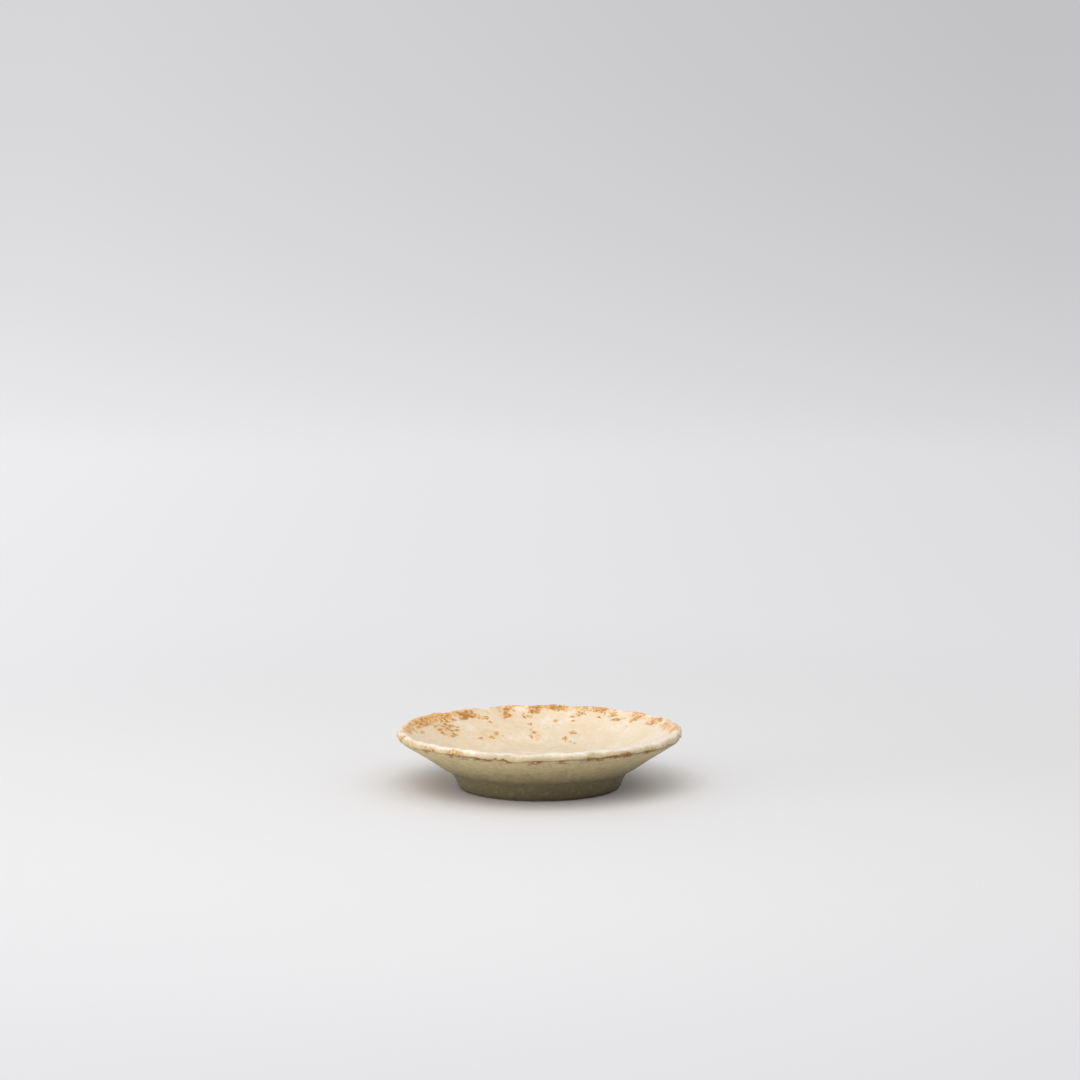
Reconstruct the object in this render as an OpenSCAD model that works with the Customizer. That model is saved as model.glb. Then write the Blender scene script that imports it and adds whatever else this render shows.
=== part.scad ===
// A small soy sauce dish of glazed stoneware, in millimetres.
// A pressed clay slab with a scalloped rim stands on a foot ring that is luted on with slip.
// Glaze covers the inside, the outside, the foot and the base, and leaves the standing edge bare.
// The z axis is the axis of the dish, and the table is at z = 0.

/* [Dish] */
// Diameter over the glaze, across opposite lobe tips
rim_d = 90; // [82:1:110]
// Height of the lip's crest above the table
dish_h = 18.8; // [16:0.1:24]
// Thickness of the clay slab at the floor
slab_t = 2.8; // [2.2:0.1:3.4]
// Thickness of the clay slab at the lip
lip_t = 2.3; // [1.6:0.1:3]
// How far outside the top of the foot the wall starts to rise, at the middle of the slab
wall_setback = 0.3; // [0:0.1:3]
// Radius of the bend between floor and wall, at the middle of the slab
bend_r = 12; // [8:0.1:14]

/* [Scalloped rim] */
// Number of lobes round the rim
lobe_count = 18; // [12:2:24]
// Depth of a middling notch between two lobes
notch_depth = 1; // [0.4:0.1:1.6]
// How far the lip dips at a middling notch
notch_dip = 0.1; // [0:0.05:0.4]
// Share by which the notches at the two sides are shallower, and those at front and back deeper
notch_side_share = 0.6; // [0:0.05:0.7]
// Share by which any notch may be deeper or shallower
notch_vary_share = 0.2; // [0:0.05:0.3]
// Share of a notch's depth that shows on the outside of the wall
outside_press_share = 0.5; // [0:0.05:1]
// Angle of the first notch, from the x axis
first_notch = 14; // [0:1:30]
// Share of the wall that the flutes cover inside the dish
inside_flute_share = 0.95; // [0.5:0.05:1]
// Share of the wall that the flutes cover on the outside
outside_flute_share = 0.7; // [0.3:0.05:1]
// How far the lip dips where it is lowest between the notches
lip_dip = 0.5; // [0:0.1:1]

/* [Foot ring] */
// Outside diameter at the standing edge
foot_d = 50.6; // [46:0.2:52]
// Width of the ring at the standing edge
foot_w = 3.6; // [3:0.1:5]
// Height of the ring
foot_h = 4.9; // [4:0.1:6.5]
// How far the outer face leans out from bottom to top
foot_flare = 1.6; // [0.6:0.1:2.2]
// How far the inner face leans in from bottom to top
foot_inner_flare = 0.8; // [0:0.1:1.5]
// Radius of the rounded edges that the ring stands on
foot_edge_r = 0.6; // [0.3:0.1:1]
// Thickness of the slip between the ring and the flat base
slip_t = 0.3; // [0.2:0.05:0.6]

/* [Glaze] */
// Thickness of the glaze inside and over the lip
inside_glaze_t = 0.4; // [0.2:0.05:0.6]
// Thickness of the glaze on the outside, the foot and the base
outside_glaze_t = 0.3; // [0.2:0.05:0.5]
// Share of the roll of the lip that the inside glaze covers
lip_glaze_share = 0.78; // [0.6:0.02:0.9]
// Width of the bare line between the inside glaze and the outside glaze
bare_line_w = 0.5; // [0.3:0.1:1]
// Height of the bare clay above the rounded standing edge
bare_foot_h = 0.3; // [0.1:0.1:1]
// How far the glaze fills the corner between the foot and the wall
corner_fill = 1.5; // [0.5:0.1:1.6]
// How far the base glaze climbs the inner face of the foot
base_climb = 0.8; // [0.3:0.1:1.5]

/* [Hidden] */
$fn = 96;

// Steps of the lofts and arcs
steps_per_lobe = 6;
bend_steps = 3;
inside_wall_steps = 4;
outside_wall_steps = 3;
lip_steps = 5;
edge_steps = 4;
fill_steps = 5;

// Shape of a notch: a higher power is a narrower notch between flatter lobes
notch_power = 2;
// Angle from one notch's chance depth to the next, so that the depths never repeat
notch_vary_turn = 137.5;
// Slow waves of the lip: counts round the rim, their start, and the share of the first
lip_waves = [1, 5];
lip_wave_starts = [270, 200];
first_wave_share = 0.6;
// Share of its thickness that a glaze still has at its free edge
glaze_edge_share = 0.5;

// The foot ring
foot_r = foot_d / 2;
foot_top_r = foot_r + foot_flare;
foot_inner_r = foot_r - foot_w;
foot_inner_top_r = foot_inner_r - foot_inner_flare;

// The middle of the slab runs from the floor through the bend and the wall to the lip
base_z = foot_h + slip_t;
middle_z = base_z + slab_t / 2;
floor_r = foot_top_r + wall_setback;
lip_r = rim_d / 2 - lip_t / 2 - inside_glaze_t;
lip_z = dish_h - lip_t / 2 - inside_glaze_t;
wall_slope = atan2(lip_z - middle_z, lip_r - floor_r);
bend_leg = bend_r * tan(wall_slope / 2);
bend_centre = [floor_r - bend_leg, middle_z + bend_r];
bend_end = [floor_r, middle_z] + bend_leg * [cos(wall_slope), sin(wall_slope)];
wall_run = norm([lip_r, lip_z] - bend_end);
lip_roll = PI * lip_t / 2;

segments = lobe_count * steps_per_lobe;

function smooth(x) = let (t = max(0, min(1, x))) t * t * (3 - 2 * t);

function polar(length, angle) = length * [cos(angle), sin(angle)];

function reversed(list) = [for (i = [len(list) - 1:-1:0]) list[i]];

// A round stretch of an outline
function arc(centre, radius, from, to, steps) =
    [for (i = [0:steps]) centre + polar(radius, from + (to - from) * i / steps)];

// A curve that leaves start and reaches end along the lines to their common corner
function corner_curve(start, corner, end, steps) =
    [for (i = [0:steps]) let (t = i / steps)
        (1 - t) * (1 - t) * start + 2 * t * (1 - t) * corner + t * t * end];

// A station is a point on the middle of the slab, the angle of the normal on the side that it is for,
// half of the slab's thickness, and the shares of the lip's dip and of the notches' depth there.
// The side is 1 inside the dish and -1 on the outside.
function axis_station(side) = [[0, middle_z], 90 * side, slab_t / 2, 0, 0];

function bend_station(slope, side) =
    [bend_centre + polar(bend_r, slope - 90), slope + 90 * side, slab_t / 2, 0, 0];

function wall_station(below_lip, side) =
    let (flute_share = side > 0 ? inside_flute_share : outside_flute_share,
        press_share = side > 0 ? 1 : outside_press_share,
        near_lip = smooth(1 - below_lip / (wall_run * flute_share)))
    [[lip_r, lip_z] - polar(below_lip, wall_slope),
        wall_slope + 90 * side,
        lip_t / 2 + (slab_t - lip_t) / 2 * below_lip / wall_run,
        near_lip,
        near_lip * press_share];

function lip_station(turned_share) =
    [[lip_r, lip_z], wall_slope + 90 - 180 * turned_share, lip_t / 2,
        1, 1 - (1 - outside_press_share) * turned_share];

// A station over the lip's roll and down the outside, at a way along the clay from where the roll starts
function over_lip_station(way) =
    way < lip_roll ? lip_station(way / lip_roll) : wall_station(way - lip_roll, -1);

bend_slopes = [for (i = [0:bend_steps]) wall_slope * i / bend_steps];
floor_stations = concat(
    [axis_station(1)],
    [for (slope = bend_slopes) bend_station(slope, 1)],
    [for (i = [1:inside_wall_steps]) wall_station(wall_run * (1 - i / inside_wall_steps), 1)]);
lip_stations = [for (i = [1:lip_steps]) lip_station(lip_glaze_share * i / lip_steps)];
outside_start = lip_roll * lip_glaze_share + bare_line_w;
outside_end = lip_roll + wall_run;
outside_stations = [for (i = [0:outside_wall_steps])
    over_lip_station(outside_start + (outside_end - outside_start) * i / outside_wall_steps)];
base_stations = concat(
    [for (i = [1:bend_steps]) bend_station(bend_slopes[bend_steps - i], -1)],
    [axis_station(-1)]);
inside_stations = concat(floor_stations, lip_stations);

// A point of the section, on the clay or on a coat over it: radius, height, dip share and notch share
function skin_point(station, coat_t = 0) =
    let (p = station[0] + polar(station[2] + coat_t, station[1])) [p[0], p[1], station[3], station[4]];

function skin(stations, coat_t = 0) = [for (s = stations) skin_point(s, coat_t)];

function flat(points) = [for (p = points) [p[0], p[1]]];

// The underside of the slab, and of the glaze on it, from the axis outwards
underside_stations = reversed(concat([outside_stations[outside_wall_steps]], base_stations));
underside = flat(skin(underside_stations));
underside_coat = flat(skin(underside_stations, outside_glaze_t));

function underside_z(r) = lookup(r, underside);

function underside_coat_z(r) = lookup(r, underside_coat);

function between(points, low_r, high_r) = [for (p = points) if (p[0] > low_r && p[0] < high_r) p];

// How far a notch reaches in at an angle round the dish, as a share of a middling notch
function notch_share(angle) =
    let (turn = (angle - first_notch) / 360 * lobe_count,
        number = round(turn) % lobe_count,
        middle = first_notch + 360 * number / lobe_count,
        by_side = notch_side_share * cos(2 * middle),
        by_chance = notch_vary_share * sin(notch_vary_turn * number))
    (1 - by_side + by_chance) * pow((1 + cos(360 * turn)) / 2, notch_power);

// How far the lip dips at an angle round the dish
function dip(angle) =
    notch_dip * notch_share(angle)
    + lip_dip / 2 * (1 + first_wave_share * sin(lip_waves[0] * angle + lip_wave_starts[0])
        + (1 - first_wave_share) * sin(lip_waves[1] * angle + lip_wave_starts[1]));

// One point of the section, carried round the dish
function round_ring(p) = [for (i = [0:segments - 1])
    let (angle = first_notch + 360 * i / segments, r = p[0] - p[3] * notch_depth * notch_share(angle))
    [r * cos(angle), r * sin(angle), p[1] - p[2] * dip(angle)]];

// Triangles between two neighbouring rings of a section, given each ring's first point.
// Each face is split from the wider ring, so that faces which touch are split alike.
function band(from, to, from_r, to_r) = [for (i = [0:segments - 1], half = [0, 1])
    let (j = (i + 1) % segments)
    from_r > to_r
        ? (half == 0 ? [from + i, to + i, to + j] : [from + i, to + j, from + j])
        : (half == 0 ? [from + i, to + i, from + j] : [from + j, to + i, to + j])];

// A solid from a section that closes on itself, carried round the scalloped rim
module closed_loft(section) {
    count = len(section);
    polyhedron(
        points = [for (p = section) each round_ring(p)],
        faces = [for (k = [0:count - 1]) let (next = (k + 1) % count)
            each band(k * segments, next * segments, section[k][0], section[next][0])]);
}

// A solid from a section that starts and ends on the axis
module axis_loft(section) {
    count = len(section) - 2;
    top = count * segments;
    polyhedron(
        points = concat(
            [for (k = [1:count]) each round_ring(section[k])],
            [[0, 0, section[0][1]], [0, 0, section[count + 1][1]]]),
        faces = concat(
            [for (i = [0:segments - 1]) [top, i, (i + 1) % segments]],
            [for (k = [0:count - 2])
                each band(k * segments, (k + 1) * segments, section[k + 1][0], section[k + 2][0])],
            [for (i = [0:segments - 1]) let (last = top - segments)
                [top + 1, last + (i + 1) % segments, last + i]]));
}

// The pressed slab: floor, fluted wall and rounded lip
module clay_dish() {
    color("tan")
        axis_loft(skin(concat(inside_stations, outside_stations, base_stations)));
}

// Slip that joins the ring to the base and fills the wedge under the bend
module slip_joint() {
    color("burlywood")
        rotate_extrude()
            polygon(concat(
                [[foot_inner_top_r, foot_h], [foot_top_r, foot_h]],
                [[foot_top_r, underside_z(foot_top_r)]],
                reversed(between(underside, foot_inner_top_r, foot_top_r)),
                [[foot_inner_top_r, underside_z(foot_inner_top_r)]]));
}

// The faces of the foot ring above its rounded edges, as radii at a height
function foot_rise_share(z) = (z - foot_edge_r) / (foot_h - foot_edge_r);

function foot_face_r(z) = foot_r + foot_flare * foot_rise_share(z);

function foot_inner_face_r(z) = foot_inner_r - foot_inner_flare * foot_rise_share(z);

// The ring that the dish stands on
module foot_ring() {
    color("tan")
        rotate_extrude()
            polygon(concat(
                arc([foot_inner_r + foot_edge_r, foot_edge_r], foot_edge_r, 180, 270, edge_steps),
                arc([foot_r - foot_edge_r, foot_edge_r], foot_edge_r, 270, 360, edge_steps),
                [[foot_top_r, foot_h], [foot_inner_top_r, foot_h]]));
}

// The glaze poured inside, which rolls over the lip and ends on the outside of its roll
module inside_glaze() {
    last = len(inside_stations) - 1;
    coated = [for (i = [0:last - 1]) inside_stations[i]];
    color("moccasin")
        axis_loft(concat(
            skin(coated, inside_glaze_t),
            [skin_point(inside_stations[last], inside_glaze_t * glaze_edge_share)],
            reversed(skin(inside_stations))));
}

// The glaze on the outside of the wall, from the bare line on the lip to the bend
module outside_glaze() {
    coated = [for (i = [1:outside_wall_steps]) outside_stations[i]];
    color("darkkhaki")
        closed_loft(concat(
            [skin_point(outside_stations[0], outside_glaze_t * glaze_edge_share)],
            skin(coated, outside_glaze_t),
            reversed(skin(outside_stations))));
}

// The glaze on the foot, which fills the corner under the wall and ends above the standing edge
module foot_glaze() {
    low_z = foot_edge_r + bare_foot_h;
    full_z = low_z + outside_glaze_t;
    low_clay = [foot_face_r(low_z), low_z];
    low_edge = [foot_face_r(low_z) + outside_glaze_t * glaze_edge_share, low_z];
    low_coat = [foot_face_r(full_z) + outside_glaze_t, full_z];
    corner_r = foot_top_r + outside_glaze_t;
    corner = [corner_r, underside_coat_z(corner_r)];
    up = (corner - low_coat) / norm(corner - low_coat);
    fill_end_r = corner_r + corner_fill;
    join = underside[len(underside) - 1];
    join_coat = underside_coat[len(underside_coat) - 1];
    color("olive")
        rotate_extrude()
            polygon(concat(
                [low_clay, low_edge, low_coat],
                corner_curve(corner - up * corner_fill, corner,
                    [fill_end_r, underside_coat_z(fill_end_r)], fill_steps),
                between(underside_coat, fill_end_r, join_coat[0]),
                [join_coat, join],
                reversed(between(underside, foot_top_r, join[0])),
                [[foot_top_r, underside_z(foot_top_r)], [foot_top_r, foot_h]]));
}

// The glaze on the base inside the foot ring, with a raised edge where it climbs the ring
module base_glaze() {
    climb_z = foot_h - base_climb;
    low_z = base_z - outside_glaze_t;
    color("darkkhaki")
        rotate_extrude()
            polygon(concat(
                [[0, low_z]],
                corner_curve([foot_inner_top_r - base_climb, low_z], [foot_inner_top_r, low_z],
                    [foot_inner_face_r(climb_z), climb_z], fill_steps),
                [[foot_inner_top_r, foot_h], [foot_inner_top_r, underside_z(foot_inner_top_r)]],
                reversed(between(underside, 0, foot_inner_top_r)),
                [[0, base_z]]));
}

clay_dish();
slip_joint();
foot_ring();
inside_glaze();
outside_glaze();
foot_glaze();
base_glaze();
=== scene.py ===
"""Looks of a small soy sauce dish of glazed stoneware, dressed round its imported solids, in metres.

Each piece is drawn as half a section in the XZ plane, turned about the dish's axis, pressed into
lobes and given the uneven surface of poured glaze. The z axis is the dish's axis and the table is z = 0.
"""

import math
from collections import namedtuple
from functools import partial

import bpy
import numpy as np
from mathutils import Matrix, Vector, noise


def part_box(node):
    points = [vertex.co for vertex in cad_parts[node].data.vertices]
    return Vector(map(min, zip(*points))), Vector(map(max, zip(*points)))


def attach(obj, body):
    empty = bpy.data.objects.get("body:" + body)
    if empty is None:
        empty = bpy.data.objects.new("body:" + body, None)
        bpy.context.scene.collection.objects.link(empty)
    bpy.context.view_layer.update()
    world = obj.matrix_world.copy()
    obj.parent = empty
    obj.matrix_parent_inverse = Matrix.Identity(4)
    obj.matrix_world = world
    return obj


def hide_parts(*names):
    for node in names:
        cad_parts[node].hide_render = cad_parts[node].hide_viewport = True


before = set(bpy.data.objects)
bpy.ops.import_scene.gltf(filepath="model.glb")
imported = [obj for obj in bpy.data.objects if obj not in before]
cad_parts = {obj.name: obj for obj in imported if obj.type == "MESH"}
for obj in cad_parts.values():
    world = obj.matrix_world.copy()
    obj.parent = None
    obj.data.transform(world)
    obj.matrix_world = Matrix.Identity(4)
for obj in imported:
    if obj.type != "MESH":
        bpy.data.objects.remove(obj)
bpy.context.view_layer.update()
FOOT_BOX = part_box("foot_ring")
CLAY_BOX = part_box("clay_dish")
FLOOR_PAST_FOOT = 0.0003

bl_info = {
    "name": "Soy Sauce Dish",
    "version": (1, 0, 0),
    "blender": (4, 5, 0),
    "location": "View3D > Sidebar > Dish",
    "description": "A scalloped stoneware sauce dish with a cream glaze inside and an olive glaze outside",
    "category": "Add Mesh",
}


# Kinds of property

def length(name, description, default):
    """A size in metres."""
    return bpy.props.FloatProperty(
        name=name, description=description, default=default, unit="LENGTH", precision=5)


def share(name, description, default):
    """A plain number between 0 and 1."""
    return bpy.props.FloatProperty(
        name=name, description=description, default=default, min=0, max=1, subtype="FACTOR")


def count(name, description, default):
    """A whole number of things."""
    return bpy.props.IntProperty(name=name, description=description, default=default, min=1)


def bearing(name, description, degrees):
    """An angle, given here in degrees."""
    return bpy.props.FloatProperty(
        name=name, description=description, default=math.radians(degrees), subtype="ANGLE")


def power(name, description, default):
    """A lamp's power in watts."""
    return bpy.props.FloatProperty(name=name, description=description, default=default, unit="POWER")


def tint(name, description, *screen_rgb):
    """A colour, given here as the red, green and blue that a screen shows, from 0 to 255."""
    linear = [((value / 255 + 0.055) / 1.055) ** 2.4 for value in screen_rgb]
    return bpy.props.FloatVectorProperty(
        name=name, description=description, default=linear, size=3, min=0, max=1, subtype="COLOR")


# Sizes, finishes and stage

class DishSizes(bpy.types.PropertyGroup):
    """Sizes of the clay, the rim, the foot and the glazes."""

    rim_diameter: length("Rim diameter", "Across two opposite lobes, glaze included", 0.090)
    height: length("Height", "From the table to the top of the lip, glaze included", 0.0188)
    base_height: length("Base height", "Underside of the clay slab above the table", CLAY_BOX[0].z)
    slab_thickness: length("Slab thickness", "Clay on the floor and low on the wall", 0.0028)
    lip_thickness: length("Lip thickness", "Clay at the lip", 0.0023)
    floor_radius: length(
        "Floor radius", "Where the floor's and the wall's lines cross", FOOT_BOX[1].x + FLOOR_PAST_FOOT)
    bend_radius: length("Bend radius", "Bend between the floor and the wall", 0.012)
    lobe_count: count("Lobes", "Lobes round the rim", 18)
    notch_depth: length("Notch depth", "How far a notch is pressed in at the lip", 0.001)
    notch_dip: length("Notch dip", "How far the lip sinks at a notch", 0.0001)
    notch_side_share: share("Side share", "How much shallower the notches at the two sides are", 0.6)
    notch_vary_share: share("Chance share", "How much notches differ by chance", 0.2)
    outside_press_share: share("Outside press", "Share of a notch that shows outside", 0.5)
    first_notch: bearing("First notch", "Bearing of one notch from +X", 14)
    nick_bearing: bearing("Nick", "Bearing of the small nick in the lip", 114)
    nick_width: bearing("Nick width", "Half the width of the nick", 1.7)
    nick_dip: length("Nick dip", "Depth of the nick", 0.0004)
    sag_bearing: bearing("Sag", "Bearing of the place where the lip sags", -97)
    sag_width: bearing("Sag width", "Half the width of the sag", 8)
    sag_dip: length("Sag dip", "Depth of the sag", 0.0005)
    inside_flute_share: share("Inside flutes", "Share of the wall that a flute runs down inside", 0.95)
    outside_flute_share: share("Outside flutes", "Share of the wall that a flute runs down outside", 0.7)
    lip_dip: length("Lip dip", "How far the lip is out of level", 0.0005)
    foot_radius: length("Foot radius", "Outside of the foot at the table", 0.0253)
    foot_top_radius: length("Foot top radius", "Outside of the foot at the top", FOOT_BOX[1].x)
    foot_height: length("Foot height", "Height of the foot ring", FOOT_BOX[1].z)
    foot_width: length("Foot width", "Width of the foot at the table", 0.0036)
    foot_inner_flare: length("Inner flare", "How far the inner face leans in", 0.0008)
    foot_edge: length("Foot edge", "Radius of the standing edge", 0.0006)
    cream_thickness: length("Cream coat", "Thickness of the glaze inside", 0.0004)
    olive_thickness: length("Olive coat", "Thickness of the glaze outside", 0.0003)
    lip_glaze_share: share("Lip glaze", "Share of the lip's roll that the cream glaze covers", 0.78)
    bare_line: length("Bare line", "Clay left bare between the two glazes", 0.0005)
    bare_foot: length("Bare foot", "Clay left bare above the standing edge", 0.0003)
    corner_fill: length("Corner fill", "Size of the fillet of glaze under the wall", 0.0032)
    base_climb: length("Base climb", "How far the glaze of the base climbs the foot", 0.0008)
    line_wander: length("Line wander", "How far the glazes' edges wander at the bare line", 0.0004)
    foot_wander: length("Foot wander", "How far the glaze's edge wanders at the foot", 0.00025)
    broad_unevenness: length("Broad unevenness", "Slow swelling of the poured glaze", 0.00016)
    fine_unevenness: length("Fine unevenness", "Quick swelling of the poured glaze", 0.00003)
    lip_unevenness: length("Lip unevenness", "Lumps of the poured glaze on the lip", 0.0010)
    segments: count("Segments", "Faces round the dish", 720)


class DishFinishes(bpy.types.PropertyGroup):
    """Colours of the glazes, the iron stain and the clay."""

    cream: tint("Cream", "Body of the glaze inside", 238, 219, 189)
    cream_pale: tint("Pale cream", "Where the glaze inside is thick", 248, 236, 219)
    # Painted highlight, partly also thick glaze: the crest of the lip is laid nearly white where the lamps'
    # reflection runs along its roll
    cream_white: tint("White cream", "Crest of the lip, where the glaze is thickest", 247, 237, 223)
    cream_sand: tint("Sand", "Where the glaze inside is thin", 231, 204, 162)
    cream_thin: tint("Thin cream", "Edge of the cream on the outside of the lip", 194, 176, 136)
    rust_gold: tint("Golden rust", "Thin iron stain in the cream", 230, 170, 80)
    rust_khaki: tint("Khaki rust", "Thin iron stain on the outside of the lip", 170, 142, 94)
    rust_speck: tint("Iron speck", "Small spots of iron in the cream", 193, 140, 66)
    rust_brown: tint("Brown rust", "Full iron stain in the cream", 184, 124, 56)
    rust_dark: tint("Dark rust", "Where the iron lies thickest", 150, 97, 48)
    line_brown: tint("Line brown", "Iron line under the lip outside", 140, 99, 54)
    # From light to deep, the olive tones are partly painted light and shade: lighter under the lip, darker
    # down the foot as it lies in shade
    olive_light: tint("Light olive", "Glaze outside just below the lip", 199, 179, 135)
    olive: tint("Olive", "Body of the glaze outside", 173, 156, 114)
    olive_dark: tint("Dark olive", "Glaze at the top of the foot", 114, 103, 73)
    olive_deep: tint("Deep olive", "Glaze at the bottom of the foot", 84, 75, 54)
    olive_green: tint("Green olive", "Greener clouds in the glaze outside", 140, 138, 92)
    olive_speck: tint("Olive speck", "Fine specks in the glaze outside", 84, 70, 46)
    clay_iron: tint("Iron clay", "Bare clay under the lip where iron has gathered", 118, 71, 38)
    clay_tan: tint("Tan clay", "Bare clay under the lip elsewhere", 186, 166, 126)
    clay_sand: tint("Sandy clay", "Darker grains of that clay", 162, 140, 100)
    # Partly painted shade: the bare clay of the foot and its grains are laid very dark, as the contact shadow
    # at the standing edge, besides the clay's own tone
    clay_foot: tint("Foot clay", "Bare clay of the foot", 70, 60, 46)
    clay_grain: tint("Clay grain", "Lighter grains of the foot's clay", 98, 86, 67)


class DishStage(bpy.types.PropertyGroup):
    """Camera, lamps and backdrop."""

    camera_distance: length("Camera distance", "From the middle of the dish", 1.208)
    camera_elevation: bearing("Camera elevation", "Of the camera above the middle of the dish", 10.59)
    camera_pitch: bearing("Camera pitch", "Of the camera's axis below the level", 7.345)
    camera_side: length("Camera side", "How far the camera stands to the right", 0.0002)
    key_power: power("Key power", "Large soft lamp above the front left", 6.6)
    fill_power: power("Fill power", "Very large soft lamp overhead, to the right", 12.5)
    low_power: power("Low lamp power", "Lamp close to the floor at the left", 10)
    world_level: share("World level", "Even light from all round", 0.56)
    # Painted light and shade: the lit floor's colour is lighter at the left and darker at the right, as the
    # light falls off
    lit_left: tint("Left floor", "Lit floor to the left of the dish", 246, 245, 246)
    lit_right: tint("Right floor", "Lit floor to the right of the dish", 226, 225, 226)
    # Painted light: colours that the sweep glows with for the camera away from the dish, darker to the right
    # and far behind
    sweep_left: tint("Left sweep", "Floor and backdrop to the left", 239, 238, 240)
    sweep_right: tint("Right sweep", "Floor and backdrop to the right", 219, 218, 220)
    far_left: tint("Far left sweep", "Backdrop far behind the dish, to the left", 213, 212, 215)
    far_right: tint("Far right sweep", "Backdrop far behind the dish, to the right", 194, 193, 196)
    near_start: length("Near start", "Where the lit floor starts to change to its plain tone", 0.12)
    near_end: length("Near end", "Where the floor has its plain tone", 0.38)
    # Painted shade: where the glowing backdrop darkens far behind the dish
    fade_start: length("Fade start", "Where the backdrop starts to darken", 0.92)
    fade_end: length("Fade end", "Where the backdrop is darkest", 1.85)


# Shape of the slab

Spot = namedtuple("Spot", "place dip press from_lip coat way lift slide drip", defaults=[0.0] * 8)
SPOT_FIELDS = Spot._fields[1:]
INSIDE = 1
OUTSIDE = -1


def polar(distance, angle):
    """A point of the section at a distance and angle from its origin."""
    return Vector((distance * math.cos(angle), distance * math.sin(angle)))


def smooth(x):
    """Eased step from 0 to 1."""
    t = np.clip(x, 0.0, 1.0)
    return t * t * (3 - 2 * t)


def over(values, start):
    """Eased from 0 where values reach a start to 1 where they reach 1."""
    return smooth((values - start) / (1 - start))


def shares(steps):
    """Evenly spaced numbers from 0 to 1."""
    return [i / steps for i in range(steps + 1)]


def stretch(start, end, steps):
    """Evenly spaced numbers from start to end."""
    return [start + (end - start) * t for t in shares(steps)]


def curve(start, corner, end, steps):
    """Points of a curve that leaves start and reaches end along the lines to their corner, without start."""
    return [start.lerp(corner, t).lerp(corner.lerp(end, t), t) for t in shares(steps)[1:]]


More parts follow.
